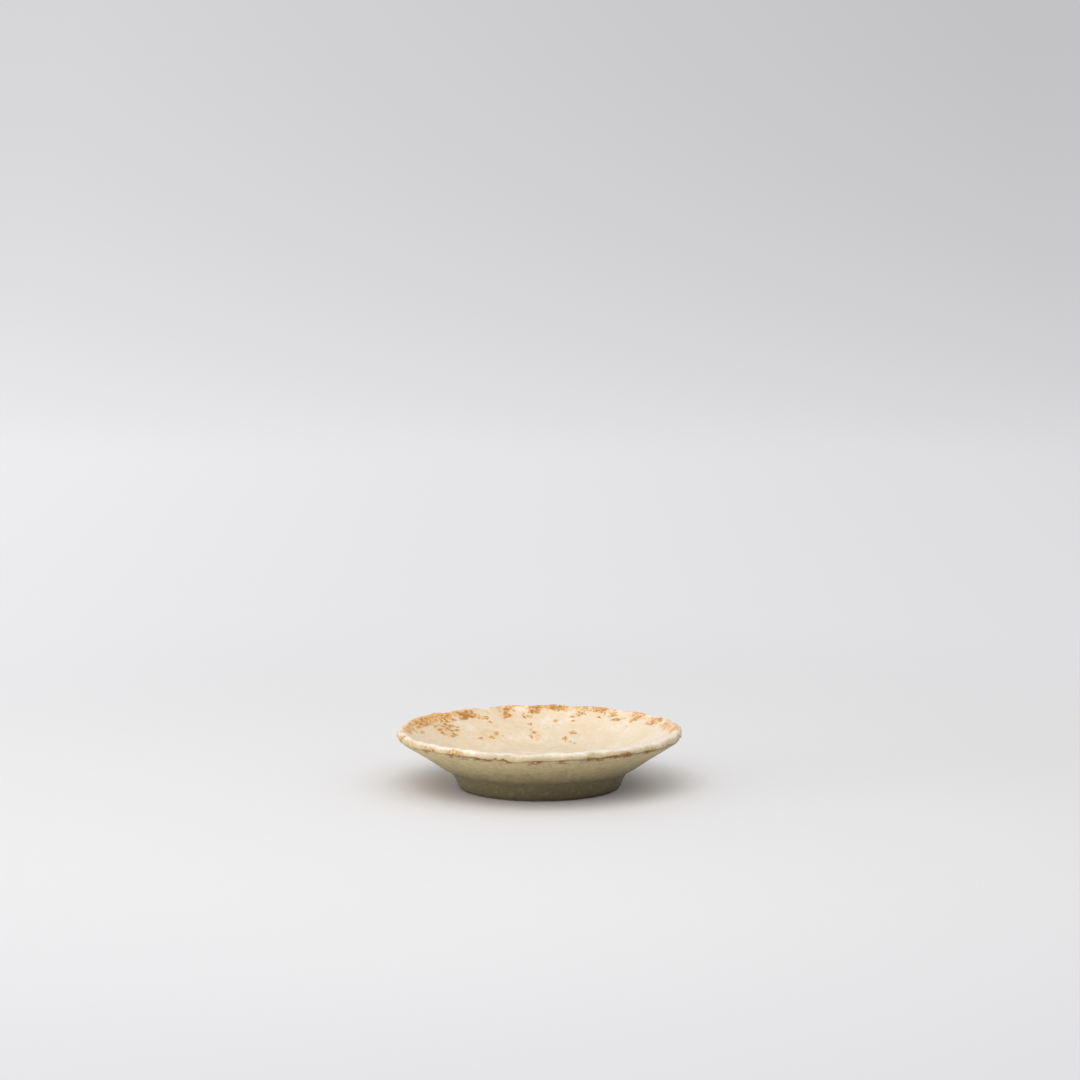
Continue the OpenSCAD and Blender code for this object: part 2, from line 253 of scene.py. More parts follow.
class Slab:
    """The slab's middle line from the axis to the lip, and the skins on either side of it."""

    def __init__(self, sizes):
        self.sizes = sizes
        self.middle_z = sizes.base_height + sizes.slab_thickness / 2
        self.roll_radius = sizes.lip_thickness / 2 + sizes.cream_thickness
        self.roll_way = math.pi * sizes.lip_thickness / 2
        self.lip = Vector((sizes.rim_diameter / 2 - self.roll_radius, sizes.height - self.roll_radius))
        corner = Vector((sizes.floor_radius, self.middle_z))
        self.slope = math.atan2(self.lip.y - corner.y, self.lip.x - corner.x)
        bend_leg = sizes.bend_radius * math.tan(self.slope / 2)
        self.bend_centre = corner + Vector((-bend_leg, sizes.bend_radius))
        self.wall_run = (self.lip - corner).length - bend_leg
        self.cream_end = self.roll_way * sizes.lip_glaze_share
        self.olive_start = self.cream_end + sizes.bare_line
        self.outside_end = self.roll_way + self.wall_run

    def half(self, below):
        """Half the slab's thickness at a distance below the lip."""
        growth = self.sizes.slab_thickness - self.sizes.lip_thickness
        return (self.sizes.lip_thickness + growth * below / self.wall_run) / 2

    def from_lip(self, run, side):
        """Way along the glaze from the lip's crest to a run below its roll, inside as a positive number."""
        if side == INSIDE:
            return self.roll_radius * self.slope + run
        return self.roll_radius * (self.slope - math.pi) - run

    def floor_spot(self, radius, side, lift=0.0, coat=0.0):
        """On the flat floor or base."""
        place = Vector((radius, self.middle_z + side * (self.sizes.slab_thickness / 2 + lift)))
        run = self.wall_run + self.sizes.bend_radius * self.slope + self.bend_centre.x - radius
        return Spot(place, from_lip=self.from_lip(run, side), coat=coat)

    def bend_spot(self, slope, side, lift=0.0, coat=0.0):
        """On the bend, where the middle line has a slope."""
        reach = self.sizes.bend_radius - side * (self.sizes.slab_thickness / 2 + lift)
        run = self.wall_run + self.sizes.bend_radius * (self.slope - slope)
        place = self.bend_centre + polar(reach, slope - math.pi / 2)
        return Spot(place, from_lip=self.from_lip(run, side), coat=coat)

    def inner_wall_spot(self, below, lift=0.0, coat=0.0):
        """On the inside of the straight wall, at a distance below the lip's roll."""
        near_lip = smooth(1 - below / (self.wall_run * self.sizes.inside_flute_share))
        out = polar(self.half(below) + lift, self.slope + math.pi / 2)
        place = self.lip - polar(below, self.slope) + out
        return Spot(place, near_lip, near_lip, self.from_lip(below, INSIDE), coat)

    def over_lip(self, way, lift):
        """Radii and heights over the lip's roll and down the outside, at ways along the clay."""
        below = np.maximum(way - self.roll_way, 0.0)
        facing = self.slope + np.pi / 2 - np.pi * np.minimum(way / self.roll_way, 1.0)
        reach = self.half(below) + lift
        radius = self.lip.x - below * math.cos(self.slope) + reach * np.cos(facing)
        height = self.lip.y - below * math.sin(self.slope) + reach * np.sin(facing)
        return radius, height

    def over_lip_spot(self, way, lift=0.0, coat=0.0, slide=0.0):
        """On the lip's roll or the wall's outside, at a way along the clay from where the roll starts."""
        below = max(way - self.roll_way, 0.0)
        turned = min(way / self.roll_way, 1.0)
        near_lip = smooth(1 - below / (self.wall_run * self.sizes.outside_flute_share))
        press = near_lip * (1 - (1 - self.sizes.outside_press_share) * turned)
        from_lip = (self.slope - math.pi * turned) * self.roll_radius - below
        place = Vector(self.over_lip(way, lift))
        return Spot(place, near_lip, press, from_lip, coat, way, lift, slide)

    def inside_spots(self, lift, coat, floor_steps, bend_steps, wall_steps):
        """From the axis out along the floor and the bend and up the wall to the lip's roll."""
        floor = [self.floor_spot(self.bend_centre.x * t, INSIDE, lift, coat) for t in shares(floor_steps)]
        bend = [self.bend_spot(self.slope * t, INSIDE, lift, coat) for t in shares(bend_steps)[1:]]
        wall = [self.inner_wall_spot(self.wall_run * (1 - t), lift, coat) for t in shares(wall_steps)[1:-1]]
        return floor + bend + wall

    def under_bend_z(self, radius, lift):
        """Height of the skin under the bend, or of a coat on it, at a radius."""
        reach = self.sizes.bend_radius + self.sizes.slab_thickness / 2 + lift
        return self.bend_centre.y - math.sqrt(reach ** 2 - (radius - self.bend_centre.x) ** 2)


# Sections of the pieces

EDGE_STEPS = 6
CREAM_BEAD_SHARE = 1.1
OLIVE_BEAD_SHARE = 1.2
SLIDE_START = 1 / 2
SETTLE_SHARE = 1 / 6
DRIP_START = 1 / 3
BASE_TONE_WAY = -0.014
BASE_EDGE_COATS = [0.6, 0.2, 0.0]


def clay_section(slab):
    """The pressed slab, from the axis over the lip and back to the axis."""
    roll = [slab.over_lip_spot(way) for way in stretch(0, slab.roll_way, 18)]
    wall = [slab.over_lip_spot(way) for way in stretch(slab.roll_way, slab.outside_end, 16)[1:]]
    under = [slab.bend_spot(slab.slope * t, OUTSIDE) for t in shares(6)[-2::-1]]
    base = [slab.floor_spot(slab.bend_centre.x * t, OUTSIDE) for t in (0.5, 0.0)]
    inside = slab.inside_spots(0.0, 0.0, floor_steps=4, bend_steps=4, wall_steps=14)
    return inside + roll + wall + under + base


def cream_section(slab):
    """The glaze inside, over the lip to its beaded edge, and back along the clay."""
    lift = slab.sizes.cream_thickness
    bead_start = slab.cream_end - lift * CREAM_BEAD_SHARE
    face = slab.inside_spots(lift, 1.0, floor_steps=8, bend_steps=10, wall_steps=56)
    for way in stretch(0, bead_start, 22):
        slide = over(way / bead_start, SLIDE_START)
        face.append(slab.over_lip_spot(way, lift, 1.0, slide))
    for t in shares(EDGE_STEPS)[1:]:
        way = bead_start + (slab.cream_end - bead_start) * t
        face.append(slab.over_lip_spot(way, lift * math.sqrt(1 - t * t), 1 - t, 1.0))
    back = slab.inside_spots(0.0, 0.0, floor_steps=4, bend_steps=4, wall_steps=8)
    back += [slab.over_lip_spot(way) for way in stretch(0, bead_start, 10)]
    return face + back[::-1]


def foot_face(sizes, z):
    """Radius of the foot's outer face at a height."""
    rise = (z - sizes.foot_edge) / (sizes.foot_height - sizes.foot_edge)
    return sizes.foot_radius + (sizes.foot_top_radius - sizes.foot_radius) * rise


def olive_wall_spots(slab):
    """The olive glaze's open face, from its beaded edge on the lip to the fillet under the wall."""
    sizes = slab.sizes
    lift = sizes.olive_thickness
    bead_end = slab.olive_start + lift * OLIVE_BEAD_SHARE
    settled = bead_end + slab.wall_run * SETTLE_SHARE
    spots = []
    for t in shares(EDGE_STEPS):
        way = slab.olive_start + (bead_end - slab.olive_start) * t
        spots.append(slab.over_lip_spot(way, lift * math.sqrt(1 - (1 - t) ** 2), t, 1.0))
    for way in stretch(bead_end, settled, 8)[1:] + stretch(settled, slab.outside_end, 22)[1:]:
        slide = smooth((settled - way) / (settled - bead_end))
        spots.append(slab.over_lip_spot(way, lift, 1.0, slide))
    fillet_r = sizes.foot_top_radius + lift + sizes.corner_fill
    reach = sizes.bend_radius + sizes.slab_thickness / 2 + lift
    fillet_slope = math.asin((fillet_r - slab.bend_centre.x) / reach)
    for slope in stretch(slab.slope, fillet_slope, 5)[1:]:
        spots.append(slab.bend_spot(slope, OUTSIDE, lift, 1.0))
    return spots


def olive_foot_places(slab, start):
    """Places from the fillet's start down the foot to the bare clay, each with its drip and its coat."""
    sizes = slab.sizes
    lift = sizes.olive_thickness
    corner_r = sizes.foot_top_radius + lift
    corner = Vector((corner_r, slab.under_bend_z(corner_r, lift)))
    low_z = corner.y - sizes.corner_fill
    end_z = sizes.foot_edge + sizes.bare_foot
    bead_z = end_z + lift * OLIVE_BEAD_SHARE
    low = Vector((foot_face(sizes, low_z) + lift, low_z))
    places = [(place, 0.0, 1.0) for place in curve(start, corner, low, 10)]
    for z in stretch(low_z, bead_z, 12)[1:]:
        drip = over((low_z - z) / (low_z - bead_z), DRIP_START)
        places.append((Vector((foot_face(sizes, z) + lift, z)), drip, 1.0))
    for t in shares(EDGE_STEPS)[1:]:
        z = bead_z + (end_z - bead_z) * t
        places.append((Vector((foot_face(sizes, z) + lift * math.sqrt(1 - t * t), z)), 1.0, 1 - t))
    return places


def olive_section(slab):
    """The glaze outside, from its edge on the lip down the wall and the foot, and back along the clay."""
    foot_top_r = slab.sizes.foot_top_radius
    face = olive_wall_spots(slab)
    for place, drip, coat in olive_foot_places(slab, face[-1].place):
        from_lip = face[-1].from_lip - (place - face[-1].place).length
        face.append(Spot(place, from_lip=from_lip, coat=coat, drip=drip))
    back = [Spot(Vector((foot_top_r, slab.sizes.foot_height)), from_lip=face[-1].from_lip)]
    back.append(Spot(Vector((foot_top_r, slab.under_bend_z(foot_top_r, 0.0)))))
    back += [slab.bend_spot(slab.slope * t, OUTSIDE) for t in (0.6, 0.8)]
    back += [slab.over_lip_spot(way) for way in stretch(slab.outside_end, slab.olive_start, 14)[:-1]]
    return face + back + face[:1]


def foot_section(sizes):
    """The foot ring, with both standing edges rounded."""
    edge = sizes.foot_edge
    inner_r = sizes.foot_radius - sizes.foot_width
    inner_top = Vector((inner_r - sizes.foot_inner_flare, sizes.foot_height))
    outer_top = Vector((sizes.foot_top_radius, sizes.foot_height))
    outer_low = Vector((sizes.foot_radius, edge))
    inner_low = Vector((inner_r, edge))
    outer_centre = Vector((sizes.foot_radius - edge, edge))
    inner_centre = Vector((inner_r + edge, edge))
    places = [outer_top.lerp(outer_low, t) for t in shares(12)[:-1]]
    places += [outer_centre + polar(edge, -math.pi / 2 * t) for t in shares(6)]
    places += [Vector((x, 0.0)) for x in stretch(outer_centre.x, inner_centre.x, 6)[1:-1]]
    places += [inner_centre + polar(edge, -math.pi / 2 - math.pi / 2 * t) for t in shares(6)]
    places += [inner_low.lerp(inner_top, t) for t in shares(12)[1:]]
    return [Spot(place, coat=smooth(place.y / edge)) for place in places + places[:1]]


def base_section(sizes):
    """The glaze of the base, dished up the inside of the foot to a thin edge."""
    inner_r = sizes.foot_radius - sizes.foot_width
    lean = sizes.foot_inner_flare / (sizes.foot_height - sizes.foot_edge)
    inner_top = inner_r - sizes.foot_inner_flare
    under = sizes.base_height - sizes.olive_thickness
    low_z = sizes.foot_height - sizes.base_climb
    begin = Vector((inner_top - sizes.base_climb, under))
    end = Vector((inner_r - lean * (low_z - sizes.foot_edge) + sizes.fine_unevenness, low_z))
    face = [Vector((begin.x * t, under)) for t in shares(14)]
    face += curve(begin, Vector((inner_top, under)), end, 10)
    back = [Vector((inner_top, z)) for z in (sizes.foot_height, sizes.base_height)]
    back += [Vector((inner_top * t, sizes.base_height)) for t in (0.5, 0.0)]
    coats = [1.0] * (len(face) - len(BASE_EDGE_COATS)) + BASE_EDGE_COATS
    spots = [Spot(place, from_lip=BASE_TONE_WAY, coat=coat) for place, coat in zip(face, coats)]
    return spots + [Spot(place) for place in back]


# Modelling

MERGE_DISTANCE = 1e-6
ROUND_RADIUS = 0.04
CHANCE_TURN = math.radians(137.5)
TILT_SHARE = 0.6
TILT_BEARING = math.radians(270)
WARP_SHARE = 0.4
WARP_WAVES = 5
WARP_BEARING = math.radians(200)
NICK_START = 0.9
LUMP_START = 0.8
QUICK_TURNS = 3.1
QUICK_SHARE = 0.4


def read_points(mesh):
    """The mesh's points as an array."""
    points = np.empty(len(mesh.vertices) * 3)
    mesh.vertices.foreach_get("co", points)
    return points.reshape(-1, 3)


def write_points(mesh, points):
    """Moves the mesh's points."""
    mesh.vertices.foreach_set("co", points.ravel())
    mesh.update()


def read_field(mesh, name):
    """A named number on every point, as an array."""
    values = np.empty(len(mesh.vertices))
    mesh.attributes[name].data.foreach_get("value", values)
    return values


def write_field(mesh, name, values):
    """Puts a named number on every point."""
    field = mesh.attributes.get(name) or mesh.attributes.new(name, "FLOAT", "POINT")
    field.data.foreach_set("value", np.asarray(values, dtype=np.float32))


def write_vectors(mesh, name, vectors):
    """Puts a named vector on every point."""
    field = mesh.attributes.new(name, "FLOAT_VECTOR", "POINT")
    field.data.foreach_set("vector", vectors.astype(np.float32).ravel())


def round_bearing(points):
    """Bearing of each point from +X."""
    return np.arctan2(points[:, 1], points[:, 0])


def round_way(mesh):
    """Place of each point by its bearing on a round of one width and its way from the lip."""
    angle = round_bearing(read_points(mesh))
    rows = [ROUND_RADIUS * np.cos(angle), ROUND_RADIUS * np.sin(angle), read_field(mesh, "from_lip")]
    return np.stack(rows, axis=1)


def draw_section(name, section):
    """Draws a section in the XZ plane by extruding one point along it."""
    bpy.ops.object.select_all(action="DESELECT")
    bpy.ops.mesh.primitive_plane_add(size=0.001, location=(0, 0, 0))
    piece = bpy.context.active_object
    piece.name = name
    piece.data.name = name
    bpy.ops.object.mode_set(mode="EDIT")
    bpy.ops.mesh.select_all(action="SELECT")
    bpy.ops.mesh.merge(type="CENTER")
    first, *others = [point.place for point in section]
    bpy.ops.transform.translate(value=(first.x, 0, first.y))
    at = first
    for place in others:
        step = place - at
        bpy.ops.mesh.extrude_region_move(TRANSFORM_OT_translate={"value": (step.x, 0, step.y)})
        at = place
    bpy.ops.object.mode_set(mode="OBJECT")
    for field in SPOT_FIELDS:
        write_field(piece.data, field, [getattr(point, field) for point in section])
    return piece


def turned_piece(name, section, sizes):
    """A section turned about the dish's axis into a closed skin, selected and active."""
    piece = draw_section(name, section)
    turn = piece.modifiers.new("Turn", "SCREW")
    turn.angle = math.tau
    turn.steps = sizes.segments
    turn.render_steps = sizes.segments
    turn.use_merge_vertices = True
    turn.merge_threshold = MERGE_DISTANCE
    bpy.ops.object.modifier_apply(modifier=turn.name)
    bpy.ops.object.mode_set(mode="EDIT")
    bpy.ops.mesh.select_all(action="SELECT")
    bpy.ops.mesh.remove_doubles(threshold=MERGE_DISTANCE)
    bpy.ops.mesh.delete_loose(use_verts=True, use_edges=True, use_faces=False)
    bpy.ops.mesh.select_all(action="SELECT")
    bpy.ops.mesh.normals_make_consistent(inside=False)
    bpy.ops.object.mode_set(mode="OBJECT")
    bpy.ops.object.shade_smooth_by_angle(angle=math.radians(50))
    return piece


def notch_share(sizes, angle):
    """How much of a full notch there is at each bearing."""
    turn = (angle - sizes.first_notch) / math.tau * sizes.lobe_count
    number = np.round(turn) % sizes.lobe_count
    middle = sizes.first_notch + math.tau * number / sizes.lobe_count
    by_side = sizes.notch_side_share * np.cos(2 * middle)
    by_chance = sizes.notch_vary_share * np.sin(CHANCE_TURN * number)
    return (1 - by_side + by_chance) * ((1 + np.cos(math.tau * turn)) / 2) ** 2


def rim_dip(sizes, angle):
    """How far the lip lies below its highest level at each bearing."""
    tilt = TILT_SHARE * np.sin(angle + TILT_BEARING)
    warp = WARP_SHARE * np.sin(WARP_WAVES * angle + WARP_BEARING)
    return sizes.notch_dip * notch_share(sizes, angle) + sizes.lip_dip / 2 * (1 + tilt + warp)


def hump(angle, middle, half_width):
    """Eased from 1 at a middle bearing to 0 at half a width on either side."""
    return smooth(1 - np.abs(angle - middle) / half_width)


def press_lobes(piece, sizes):
    """Presses the notches of the rim into a turned piece and lets its lip dip."""
    points = read_points(piece.data)
    angle = round_bearing(points)
    radius = np.hypot(points[:, 0], points[:, 1])
    radius -= read_field(piece.data, "press") * sizes.notch_depth * notch_share(sizes, angle)
    points[:, 0] = radius * np.cos(angle)
    points[:, 1] = radius * np.sin(angle)
    dip = read_field(piece.data, "dip")
    nick = hump(angle, sizes.nick_bearing, sizes.nick_width) * over(dip, NICK_START)
    sag = hump(angle, sizes.sag_bearing, sizes.sag_width) * dip
    points[:, 2] -= dip * rim_dip(sizes, angle) + nick * sizes.nick_dip + sag * sizes.sag_dip
    write_points(piece.data, points)


def wander(angle, turns, seed):
    """A smooth chance number from about -1 to 1 for each bearing, the same after a full turn."""
    slow = Vector((0, 0, seed))
    rings = [Vector((math.cos(a), math.sin(a), 0)) * turns for a in angle]
    return np.array([
        noise.noise(ring + slow) + QUICK_SHARE * noise.noise(ring * QUICK_TURNS - slow) for ring in rings])


def wander_lip_edge(piece, slab, seed):
    """Lets the glaze's edge on the lip run further at some bearings than at others."""
    points = read_points(piece.data)
    slide = read_field(piece.data, "slide")
    moving = np.nonzero(slide > 0)[0]
    angle = round_bearing(points[moving])
    run = slide[moving] * slab.sizes.line_wander * wander(angle, turns=10, seed=seed)
    lift = read_field(piece.data, "lift")[moving]
    radius, height = slab.over_lip(read_field(piece.data, "way")[moving] + run, lift)
    points[moving, 0] = radius * np.cos(angle)
    points[moving, 1] = radius * np.sin(angle)
    points[moving, 2] = height
    write_points(piece.data, points)


def wander_foot_edge(piece, sizes, seed):
    """Lets the glaze's edge at the foot run further down at some bearings than at others."""
    points = read_points(piece.data)
    drip = read_field(piece.data, "drip")
    moving = np.nonzero(drip > 0)[0]
    angle = round_bearing(points[moving])
    rise = drip[moving] * sizes.foot_wander * wander(angle, turns=6, seed=seed)
    lean = (sizes.foot_top_radius - sizes.foot_radius) / (sizes.foot_height - sizes.foot_edge)
    points[moving, 0] += rise * lean * np.cos(angle)
    points[moving, 1] += rise * lean * np.sin(angle)
    points[moving, 2] += rise
    write_points(piece.data, points)


def swell(piece, name, amount, size, weight="coat"):
    """Swells a piece unevenly with a Displace modifier, as far as a number on its points lets it."""
    cloud = bpy.data.textures.new(f"{piece.name}_{name}", "CLOUDS")
    cloud.noise_scale = size
    cloud.noise_depth = 2
    group = piece.vertex_groups.new(name=f"{name}_weight")
    weights = read_field(piece.data, weight)
    for index in np.nonzero(weights > 0)[0]:
        group.add([int(index)], float(weights[index]), "REPLACE")
    push = piece.modifiers.new(name, "DISPLACE")
    push.texture = cloud
    push.texture_coords = "LOCAL"
    push.vertex_group = group.name
    push.strength = amount
    push.mid_level = 0.5
    bpy.ops.object.modifier_apply(modifier=push.name)


def place_piece(piece, material, slot, *nodes):
    """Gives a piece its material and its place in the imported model."""
    piece.data.materials.clear()
    piece.data.materials.append(material)
    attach(piece, "root")
    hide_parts(*nodes)


# Iron stain, by bearings in degrees from the far side to the right and ways in metres from the lip's crest

Stain = namedtuple("Stain", "bearing half_width start reach strength")


def stains(*rows):
    """Stains from rows of their numbers."""
    return [Stain(*row) for row in rows]


IRON_SPOTS = stains(
    (-86, 13, 0.0004, 0.0044, 0.74),
    (-66, 16, 0.0014, 0.0050, 0.9),
    (-49, 11, 0.0014, 0.0056, 0.86),
    (-36, 10, 0.0012, 0.0056, 1.05),
    (-14.5, 6.5, 0.0004, 0.0038, 0.8),
    (-15.5, 3.8, 0.0030, 0.0068, 0.95),
    (-2, 6, 0.0002, 0.0054, 0.9),
    (8, 10, 0.0, 0.0038, 0.86),
    (20, 5, 0.0006, 0.0056, 0.74),
    (28, 9, 0.0, 0.0036, 0.85),
    (36, 5, 0.0010, 0.0044, 0.8),
    (50, 9, 0.0, 0.0038, 0.76),
    (64, 9, 0.0004, 0.0054, 0.8),
    (78, 12, 0.0, 0.0042, 0.68),
    (90, 10, -0.0008, 0.0030, 0.68),
    (-66, 42, 0.0006, 0.0046, 0.74),
    (0, 92, -0.0012, 0.0016, 0.42),
    (180, 82, 0.0004, 0.0030, 0.56),
    (101, 6, -0.0026, -0.0006, 0.66),
    (-106, 4, -0.0026, -0.0004, 0.8),
    (-131, 5, -0.0036, -0.0020, 0.85),
    (-164, 8, -0.0034, -0.0022, 0.75),
    (158, 9, -0.0034, -0.0020, 0.72),
    (143, 9, -0.0034, -0.0020, 0.8),
    (126, 8, -0.0034, -0.0020, 0.75),
    (0, 75, -0.0034, -0.0012, 0.55),
)
SPECKLES = stains(
    (-27.2, 2.8, 0.0042, 0.0062, 0.95),
    (-26.2, 2.0, 0.0066, 0.0084, 0.95),
    (-30.0, 1.8, 0.0046, 0.0060, 0.85),
    (-30.4, 4.2, 0.0143, 0.0161, 1.0),
    (-26.0, 3.0, 0.0128, 0.0146, 1.1),
    (-38.0, 3.0, 0.0146, 0.0160, 1),
    (-7.3, 2.0, 0.0041, 0.0053, 0.95),
    (-7.4, 2.2, 0.0053, 0.0067, 1),
    (-4.6, 1.8, 0.0053, 0.0067, 0.95),
    (-5.6, 3.0, 0.0090, 0.0101, 1.1),
    (-5.1, 1.2, 0.0118, 0.0130, 0.95),
    (-3.0, 3.0, 0.0137, 0.0153, 1.15),
    (-5.2, 2.1, 0.0151, 0.0174, 1.05),
    (8.0, 2.4, 0.0079, 0.0091, 1),
    (16.4, 2.6, 0.0046, 0.0064, 1.05),
    (19.6, 2.4, 0.0036, 0.0054, 1.0),
    (17.4, 1.2, 0.0072, 0.0087, 0.95),
    (21.5, 3.4, 0.0131, 0.0143, 1.0),
    (18.8, 2.0, 0.0126, 0.0140, 1.0),
    (16.6, 2.2, 0.0157, 0.0180, 1.0),
    (21.0, 3.0, 0.0176, 0.0192, 1.05),
    (24.9, 2.2, 0.0185, 0.0199, 1),
    (-60.2, 2.9, 0.0054, 0.0065, 1.18),
    (-55.5, 4.0, 0.0057, 0.0075, 1.18),
    (-53.6, 3.7, 0.0072, 0.0087, 1.18),
    (-59.4, 3.3, 0.0071, 0.0085, 1.18),
    (-52.6, 3.2, 0.0087, 0.0102, 1.18),
    (-60.8, 3.5, 0.0087, 0.0100, 1.18),
    (-53.2, 4.5, 0.0105, 0.0125, 1.05),
    (-56.1, 2.2, 0.0110, 0.0122, 1.05),
    (-46.5, 2.6, 0.0074, 0.0086, 1.18),
    (-48.6, 2.3, 0.0090, 0.0103, 1.18),
    (-49.9, 3.8, 0.0065, 0.0079, 1.18),
    (-51.4, 2.7, 0.0054, 0.0069, 1.18),
    (-75.5, 5.0, 0.0054, 0.0069, 0.84),
    (-80.9, 5.8, 0.0039, 0.0050, 0.8),
    (29.4, 2.3, 0.0044, 0.0058, 1.1),
    (39.6, 5.2, 0.0048, 0.0060, 1.1),
    (42.2, 2.1, 0.0036, 0.0049, 0.8),
    (49.0, 2.4, 0.0042, 0.0055, 1),
    (50.2, 4.5, 0.0025, 0.0048, 1.05),
    (37.5, 2.6, 0.0029, 0.0041, 1),
    (49.0, 2.0, 0.0073, 0.0085, 0.8),
    (-56, 15, 0.0044, 0.0120, 0.58),
    (-116, 10, -0.0028, -0.0004, 0.6),
    (-131, 8, -0.0030, -0.0006, 0.7),
    (-145, 8, -0.0034, -0.0008, 0.9),
)
GOLDEN_WASH = stains(
    (0, 125, -0.0010, 0.0013, 0.84),
    (-52, 42, -0.0010, 0.0024, 0.9),
    (-60, 40, -0.0010, 0.0052, 0.6),
    (-54, 14, 0.0040, 0.0120, 0.36),
    (6, 24, -0.0010, 0.0034, 0.62),
    (-15, 8, -0.0010, 0.0068, 0.66),
    (-1.0, 5, 0.0140, 0.0198, 0.54),
    (28, 10, -0.0010, 0.0030, 0.56),
    (62, 36, -0.0010, 0.0034, 0.56),
    (-88, 18, -0.0010, 0.0040, 0.62),
    (87, 17, -0.0012, 0.0032, 0.62),
    (166, 6, 0.0002, 0.0013, 1.0),
    (-106, 5, -0.0030, 0.0004, 0.75),
    (-128, 28, -0.0030, 0.0002, 0.22),
)
CREST_GAPS = stains(
    (-25, 3, -0.002, 0.0014, 1.0),
    (-8, 3, -0.002, 0.0014, 0.55),
    (38, 3, -0.002, 0.0014, 0.9),
)
IRON_LINE = stains(
    (-128, 5, -0.0048, -0.0024, 0.9),
    (-144, 8, -0.0050, -0.0024, 0.85),
    (-156, 8, -0.0046, -0.0024, 1.0),
    (-166, 6, -0.0044, -0.0024, 0.85),
    (-179, 5, -0.0050, -0.0024, 1.05),
    (171, 5, -0.0056, -0.0024, 0.92),
    (157, 9, -0.0050, -0.0026, 1.0),
    (143, 8, -0.0046, -0.0024, 1.0),
    (130, 9, -0.0042, -0.0024, 0.8),
    (-152, 18, -0.0048, -0.0022, 0.86),
    (147, 24, -0.0044, -0.0022, 0.86),
    (100, 24, -0.0044, -0.0024, 0.5),
    (-98, 24, -0.0044, -0.0024, 0.4),
    (0, 82, -0.0046, -0.0024, 0.75),
)

# How a stain fades out and how its edges waver
STAIN_SPREAD = 1.2
STAIN_FADES = 2.4
STAIN_START = 0.7
STAIN_END = 0.3
STAIN_GRAIN = 560
STAIN_TURN = 1.5
STAIN_SLIDE = 0.0008
TURN_SEED = 0
SLIDE_SEED = 50


def stain_strength(to_right, from_lip, stain):
    """How strongly one stain colours each point."""
    apart = np.abs((to_right - stain.bearing + 180) % 360 - 180)
    across = smooth(STAIN_SPREAD * (1 - apart / stain.half_width))
    fade = (stain.reach - stain.start) / STAIN_FADES
    begun = smooth((from_lip - stain.start) / fade + STAIN_START)
    ahead = smooth((stain.reach - from_lip) / fade + STAIN_END)
    return stain.strength * across * begun * ahead


def waver(points, seed):
    """A smooth chance number from about -1 to 1 at each point."""
    shift = Vector((0, 0, seed))
    return np.array([noise.noise(Vector(point) * STAIN_GRAIN + shift) for point in points])


def write_stains(piece, **tables):
    """Writes the strongest stain of each table, by name, on a turned piece whose lip is still round."""
    points = read_points(piece.data)
    to_right = np.degrees(np.arctan2(points[:, 0], points[:, 1])) + STAIN_TURN * waver(points, TURN_SEED)
    from_lip = read_field(piece.data, "from_lip") + STAIN_SLIDE * waver(points, SLIDE_SEED)
    for name, table in tables.items():
        strengths = [stain_strength(to_right, from_lip, stain) for stain in table]
        write_field(piece.data, name, np.max(strengths, axis=0))


# Node building, where a socket tells which tree the next node belongs to

def fill(made, values):
    """Sets a node's inputs, by name or number, or links them to sockets."""
    for key, value in values.items():
        if isinstance(value, bpy.types.NodeSocket):
            made.id_data.links.new(value, made.inputs[key])
        else:
            made.inputs[key].default_value = value
    return made


def add_node(tree, kind, values=None, **settings):
    """Adds a node with its settings and inputs."""
    made = tree.nodes.new(kind)
    for key, value in settings.items():
        setattr(made, key, value)
    return fill(made, values or {})


def maths(operation, first, second):
    """One sum on two numbers, at least one of them a socket."""
    tree = getattr(first, "id_data", None) or second.id_data
    return add_node(tree, "ShaderNodeMath", {0: first, 1: second}, operation=operation).outputs[0]


plus = partial(maths, "ADD")
minus = partial(maths, "SUBTRACT")
times = partial(maths, "MULTIPLY")
larger = partial(maths, "MAXIMUM")


def swing(value, width):
    """A number from 0 to 1 as a swing to both sides of 0, of a whole width."""
    return times(minus(value, 0.5), width)


def fit(value, low, high, to_low=0.0, to_high=1.0):
    """Maps a range onto another with eased ends."""
    values = {"Value": value, "From Min": low, "From Max": high, "To Min": to_low, "To Max": to_high}
    return add_node(value.id_data, "ShaderNodeMapRange", values, interpolation_type="SMOOTHSTEP").outputs[0]


def blend(amount, first, second):
    """Mixes two colours, each a property's or a socket."""
    ends = [end if isinstance(end, bpy.types.NodeSocket) else (*end, 1.0) for end in (first, second)]
    values = {0: amount, 6: ends[0], 7: ends[1]}
    return add_node(amount.id_data, "ShaderNodeMix", values, data_type="RGBA").outputs[2]


def clouds(vector, scale, detail, roughness):
    """Noise from 0 to 1."""
    values = {"Vector": vector, "Scale": scale, "Detail": detail, "Roughness": roughness}
    return add_node(vector.id_data, "ShaderNodeTexNoise", values).outputs["Fac"]


def axes(vector):
    """A vector's parts along X, Y and Z."""
    return add_node(vector.id_data, "ShaderNodeSeparateXYZ", {"Vector": vector}).outputs


def stretched(vector, scale):
    """A vector with its own scale along each axis."""
    return add_node(vector.id_data, "ShaderNodeMapping", {"Vector": vector, "Scale": scale}).outputs[0]


